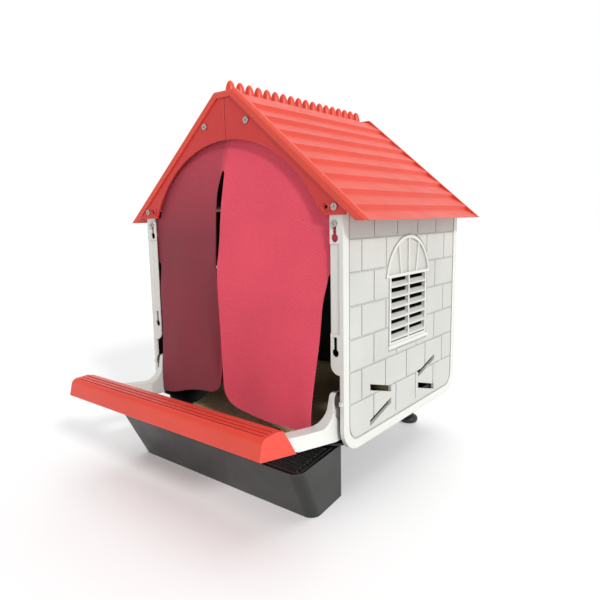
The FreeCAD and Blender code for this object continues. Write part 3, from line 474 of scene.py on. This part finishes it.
def above(z, start, span):
    """0 at height start and below, rising to 1 at a span above it."""
    return smooth((z - start) / span)


# ---------------------------------------------------------------- cloth door

DOOR_CENTRE = 0.290                       # the height of the centre of the gable's arch
DOOR_RADIUS = 0.165                       # and the arch's radius
CURTAIN_ARCH = 0.172                      # the cloth's own arch, hidden behind the gable
ARCH_HALF = 0.148                         # half its width where it meets the tabs
ARCH_STEPS = 26
SLIT_HIGH = 0.417
TAB_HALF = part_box("curtain_right_flap")[1].x
TAB_LOW = 0.292
TAB_HIGH = 0.356
CLOTH_THICK = 0.0014
CLOTH_GRID = 0.004
CLOTH_BACK = 0.0065                       # how far its rim hangs behind the front plane

# The shape it hangs in. Each pair is a height and the span over which the change comes.
RIM = DOOR_RADIUS - 0.002                 # where it leaves the gable's back
BULGE = 0.033                             # how far its middle stands out
TAB_STEP, TAB_STEP_AT = 0.005, (TAB_LOW, 0.050)     # its edges come forward below the tabs
CREASE, CREASE_WIDE = 0.006, 0.026        # a ridge in the middle, over the slit
CREASE_FROM, CREASE_TO = (0.300, 0.080), (0.462, 0.050)
RIGHT_LEAN, RIGHT_LEAN_AT = 0.022, (0.245, 0.140)   # the right flap hangs further out low down
RIGHT_LEAN_SIDE = 0.150
LEFT_LEAN, LEFT_LEAN_AT = 0.004, (0.200, 0.090)
LEFT_SLACK, LEFT_SLACK_AT = 0.009, (0.430, 0.200)   # and the left flap bulges less
# Each wave: height, radians a metre across and up, and where it starts.
WAVES = ((0.0011, 17, 38, 0), (0.0008, 61, -12, 1.3))
RIPPLE, RIPPLE_SCALE = 0.0016, (14, 9, 2.0)
LOOSE_UP, LOOSE_EDGE, LOOSE_SPAN = 0.2, 0.15, 0.05      # the waves fade towards the rim

# Corners (x, z, reach of the rounding) of its outline, right side first.
TAB = [(0.154, TAB_HIGH, 0.002), (TAB_HALF, TAB_HIGH, 0.003), (TAB_HALF, TAB_LOW, 0.005),
       (0.157, TAB_LOW - 0.003, 0.008)]
RIGHT_FLAP = [(0.149, 0.245, 0.05), (0.1475, 0.099, 0.006), (0.118, 0.098, 0.02),
              (0.060, 0.100, 0.03), (0.006, 0.108, 0.030), (0.0012, 0.185, 0.05),
              (0.0012, 0.250, 0.05)]
SLIT_END = [(0.0010, SLIT_HIGH - 0.004, 0.003), (-0.0015, SLIT_HIGH, 0.002)]
LEFT_FLAP = [(-0.0070, 0.413, 0.006), (-0.0130, 0.390, 0.02), (-0.0120, 0.340, 0.05),
             (-0.0085, 0.260, 0.05), (-0.0040, 0.190, 0.03), (-0.006, 0.118, 0.026),
             (-0.069, 0.1105, 0.03), (-0.130, 0.0925, 0.02), (-0.1555, 0.090, 0.014),
             (-0.156, 0.200, 0.05)]


def cloth_depth(x, z):
    """Behind the gable at the rim, and drawn forward like a tent towards a crease in the middle."""
    reach = RIM - math.hypot(x, max(z - DOOR_CENTRE, 0))
    belly = min(max(reach / RIM, 0.0), 1.0)
    step = TAB_STEP * below(z, *TAB_STEP_AT) * (1 - belly)
    crease = CREASE * math.exp(-abs(x) / CREASE_WIDE)
    crease = crease * above(z, *CREASE_FROM) * below(z, *CREASE_TO)
    if x > 0:
        bulge = BULGE
        lean = RIGHT_LEAN * below(z, *RIGHT_LEAN_AT) * smooth(x / RIGHT_LEAN_SIDE)
    else:
        bulge = BULGE - LEFT_SLACK * below(z, *LEFT_SLACK_AT)
        lean = LEFT_LEAN * below(z, *LEFT_LEAN_AT)
    return CLOTH_BACK - bulge * belly - step - lean - crease


def curtain_point(x, z):
    """Where the cloth hangs: the two flaps are one surface above the slit."""
    loose = smooth((SLIT_HIGH - z) / LOOSE_UP) * smooth((LOOSE_EDGE - abs(x)) / LOOSE_SPAN)
    wave = sum(high * math.sin(x * across + z * up + start) for high, across, up, start in WAVES)
    across, up, seed = RIPPLE_SCALE
    ripple = RIPPLE * noise.noise(Vector((x * across, z * up, seed)))
    return Vector((x, FRONT + cloth_depth(x, z) + loose * (wave + ripple), z))


def curtain_outline():
    """The arch from left to right, then down the right flap, up round the slit and the left one."""
    arch = []
    for i in range(ARCH_STEPS + 1):
        x = -ARCH_HALF + 2 * ARCH_HALF * i / ARCH_STEPS
        arch.append((x, DOOR_CENTRE + math.sqrt(CURTAIN_ARCH ** 2 - x * x), 0))
    return rounded(arch + TAB + RIGHT_FLAP + SLIT_END + LEFT_FLAP + mirrored(TAB))


def area_of(outline):
    """The area inside a closed outline of (u, v) points."""
    pairs = zip([outline[-1]] + outline, outline)
    return abs(sum(u * next_v - next_u * v for (u, v), (next_u, next_v) in pairs)) / 2


def door_curtain(material):
    """The slit cloth door as one sheet. Gives the piece and its area seen from the front."""
    outline = curtain_outline()
    mesh = cut_sheet(outline, [], CLOTH_GRID, curtain_point)
    piece = as_object(mesh, "door_curtain", material)
    thicken(piece, CLOTH_THICK, 0)
    shade_smooth(piece, angle=50)
    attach(piece, "house")
    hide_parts("curtain_right_flap", "curtain_left_flap")
    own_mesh(piece)
    return piece, area_of(outline)


# ---------------------------------------------------------------- nest mat

MAT_THICK = 0.0026
MAT_GRID = 0.006
MAT_UNEVEN, MAT_UNEVEN_SCALE, MAT_UNEVEN_SEED = 0.00035, 90, 0.3
MAT_FACE = 0.0004                         # its face lies this far below the highest fibres
EGG_HOLE_BACK = 0.187                     # from the mat's rear edge to the hole's middle
EGG_HOLE = (0.0248, 0.033)                # half its width and length
PEG_HOLE = 0.0055
PEG_HOLES = ((0, -0.026), (0.1305, -0.117), (-0.1305, -0.117), (0.084, -0.326), (-0.084, -0.326))


def ring(u, v, half_wide, half_long, count=28, squareness=2.6):
    """A rounded hole as a closed loop of points."""
    loop = []
    for i in range(count):
        angle = 2 * math.pi * i / count
        c, s = math.cos(angle), math.sin(angle)
        loop.append((u + half_wide * math.copysign(abs(c) ** (2 / squareness), c),
                     v + half_long * math.copysign(abs(s) ** (2 / squareness), s)))
    return loop


def nest_mat(material):
    """Pressed fibre mat with an egg hole, five peg holes and an uneven face."""
    back = MAT_HIGH.y
    half = MAT_HIGH.x
    right = [(0.107, back - 0.349, 0.005), (0.0896, back - 0.309, 0.030),
             (half, back - 0.202, 0.060), (half, back, 0.082)]
    outline = rounded(right + mirrored(right), 10)
    holes = [ring(0, back - EGG_HOLE_BACK, *EGG_HOLE)]
    for u, v in PEG_HOLES:
        holes.append(ring(u, back + v, PEG_HOLE, PEG_HOLE, 16, 2))

    def lay(u, v):
        spot = Vector((u * MAT_UNEVEN_SCALE, v * MAT_UNEVEN_SCALE, MAT_UNEVEN_SEED))
        return Vector((u, v, MAT_HIGH.z - MAT_FACE + noise.noise(spot) * MAT_UNEVEN))

    mesh = cut_sheet(outline, holes, MAT_GRID, lay)
    piece = as_object(mesh, "nest_mat_fibre", material)
    thicken(piece, MAT_THICK, -1)
    shade_smooth(piece, angle=60)
    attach(piece, "house")
    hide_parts("nest_mat")


# ---------------------------------------------------------------- stage

FLOOR_TONES = [(0.3, (0.68, 0.68, 0.68)), (0.7, (0.70, 0.70, 0.70))]
FLOOR_GLOW = 0.24
FLOOR_HALF = 12
FLOOR_DROP = 0.0004                       # just below the feet
WORLD_DIM = 0.15                          # the room overhead and in front
BRIGHT_SIDE = (-0.1, 0.995, 0)            # the bright wall behind the object
BRIGHT_FADES = (0.15, 0.45)
HORIZON = 0.95                            # the room at eye level, all around
HORIZON_FADES = (0.42, 0.56)
SUNS = (("key", (0.82, -0.30, 0.50), 9, 2.0),       # name, direction, spread in degrees, strength
        ("top", (0.05, 0.10, 1.0), 55, 1.15))


def lay_floor():
    """A plain pale studio floor that glows a little, so that its far edge doesn't show."""
    material, tree, shader = new_material("studio_floor")
    coords = tree.nodes.new("ShaderNodeTexCoord")
    cloud = noise_at(tree, coords, 1.5, 2.0)
    tone = ramp(tree, (cloud, "Fac"), FLOOR_TONES)
    link(tree, (tone, "Color"), shader, "Base Color")
    shader.inputs["Roughness"].default_value = 0.6
    shader.inputs["Emission Color"].default_value = (1, 1, 1, 1)
    shader.inputs["Emission Strength"].default_value = FLOOR_GLOW
    mesh = bmesh.new()
    bmesh.ops.create_grid(mesh, x_segments=1, y_segments=1, size=FLOOR_HALF)
    floor = as_object(mesh, "studio_floor", material)
    floor.location = (0, 0, -FLOOR_DROP)


def light_room():
    """A bright wall behind, a pale band at eye level, dim elsewhere, and two suns."""
    world = bpy.data.worlds.new("studio")
    bpy.context.scene.world = world
    world.use_nodes = True
    tree = world.node_tree
    around = tree.nodes.new("ShaderNodeTexCoord")
    toward = add(tree, "ShaderNodeVectorMath")
    toward.operation = "DOT_PRODUCT"
    toward.inputs[1].default_value = BRIGHT_SIDE
    link(tree, (around, "Generated"), toward, 0)
    glow = ramp(tree, (toward, "Value"), list(zip(BRIGHT_FADES, (WORLD_DIM, 1.0))))
    parts = add(tree, "ShaderNodeSeparateXYZ", Vector=(around, "Generated"))
    band = ramp(tree, (parts, "Z"), list(zip(HORIZON_FADES, (HORIZON, 0.0))))
    room = mix(tree, 1.0, (glow, "Color"), (band, "Color"), "LIGHTEN")
    link(tree, (room, MIX_RESULT), tree.nodes["Background"], "Color")
    for name, direction, spread, strength in SUNS:
        light = bpy.data.lights.new(name, "SUN")
        light.angle = math.radians(spread)
        light.energy = strength
        lamp = bpy.data.objects.new(name, light)
        lamp.location = (0, 0, 3)
        lamp.rotation_euler = Vector(direction).to_track_quat("Z", "Y").to_euler()
        bpy.context.scene.collection.objects.link(lamp)


# Fitted to the corners of the house in the picture; the eye's y is from the front plane.
YAW, PITCH, ROLL = 38.48, 8.64, -1.0
EYE = (0.5234, -0.512, 0.3535)
FOCAL_LENGTH = 32.47
SENSOR_WIDTH = 36
CLIP_NEAR, CLIP_FAR = 0.05, 60


def camera():
    """The viewing angle of the picture: from the front right, level with the eaves."""
    yaw, pitch, roll = math.radians(YAW), math.radians(PITCH), math.radians(ROLL)
    level = math.cos(pitch)
    forward = Vector((-math.sin(yaw) * level, math.cos(yaw) * level, -math.sin(pitch)))
    right = Vector((math.cos(yaw), math.sin(yaw), 0))
    up = right.cross(forward)
    turned_right = right * math.cos(roll) + up * math.sin(roll)
    turned_up = -right * math.sin(roll) + up * math.cos(roll)
    lens = bpy.data.cameras.new("camera")
    lens.sensor_width = SENSOR_WIDTH
    lens.lens = FOCAL_LENGTH
    lens.clip_start = CLIP_NEAR
    lens.clip_end = CLIP_FAR
    made = bpy.data.objects.new("camera", lens)
    turn = Matrix((turned_right, turned_up, -forward)).transposed()
    eye = Vector((EYE[0], FRONT + EYE[1], EYE[2]))
    made.matrix_world = Matrix.Translation(eye) @ turn.to_4x4()
    bpy.context.scene.collection.objects.link(made)
    bpy.context.scene.camera = made


# ---------------------------------------------------------------- the object

CURTAIN_COLOUR = (0.68, 0.062, 0.104)

# Each plastic: name, colour, roughness, its other settings, and the CAD nodes made of it.
PLASTICS = (
    ("wall_plastic", (0.525, 0.53, 0.495), 0.50,
     dict(edge=0.75, grain=0.10, bevel=1.0, painted_shade_reach=BACK_INNER, raised_and_front_paler=(0.64, 0.64, 0.605)),
     ("right_side_wall", "left_side_wall", "back_panel")),
    ("roof_red", (0.65, 0.050, 0.022), 0.42,
     dict(edge=0.25, grain=0.10, streaks=(30, 2, 30), painted_shade_reach=BACK_INNER, underside=True),
     ("roof_right_half", "roof_left_half", "ridge_spike_strip")),
    ("gable_red", (0.55, 0.021, 0.017), 0.42,
     dict(edge=0.25, grain=0.14, painted_shade_reach=REAR_GABLE_INNER),
     ("front_gable_right", "front_gable_left", "rear_gable")),
    ("perch_red", (0.70, 0.052, 0.028), 0.42,
     dict(edge=0.25, grain=0.10, streaks=(2, 40, 40)),
     ("perch_bar",)),
    ("black_plastic", (0.010, 0.010, 0.012), 0.52,
     dict(edge=0.04, grain=0.2),
     ("nest_floor_pan", "mat_pegs", "egg_chute", "foot_front_left", "foot_front_right",
      "foot_back_left", "foot_back_right")),
    ("tray_charcoal", (0.010, 0.0105, 0.0095), 0.36,
     dict(edge=0.30, grain=0.2),
     ("egg_tray", "egg_tray_lid")),
    ("arm_grey", (0.69, 0.69, 0.655), 0.48,
     dict(edge=0.2, grain=0.10),
     ("perch_arm_right", "perch_arm_left")),
    ("bracket_dark", (0.040, 0.032, 0.026), 0.5,
     dict(edge=0.08, grain=0.2),
     ("perch_bracket_right", "perch_bracket_left")),
)

for name, colour, rough, settings, nodes in PLASTICS:
    paint(plastic(name, colour, rough, **settings), *nodes)
paint(steel(), "gable_screws", "wall_plate_screws", "perch_pivot_pin_right", "perch_pivot_pin_left")
curtain, curtain_area = door_curtain(cloth("curtain_cloth", CURTAIN_COLOUR))
nest_mat(fibre("mat_fibre"))
lay_floor()
light_room()
camera()
bpy.context.scene.view_settings.view_transform = "Standard"
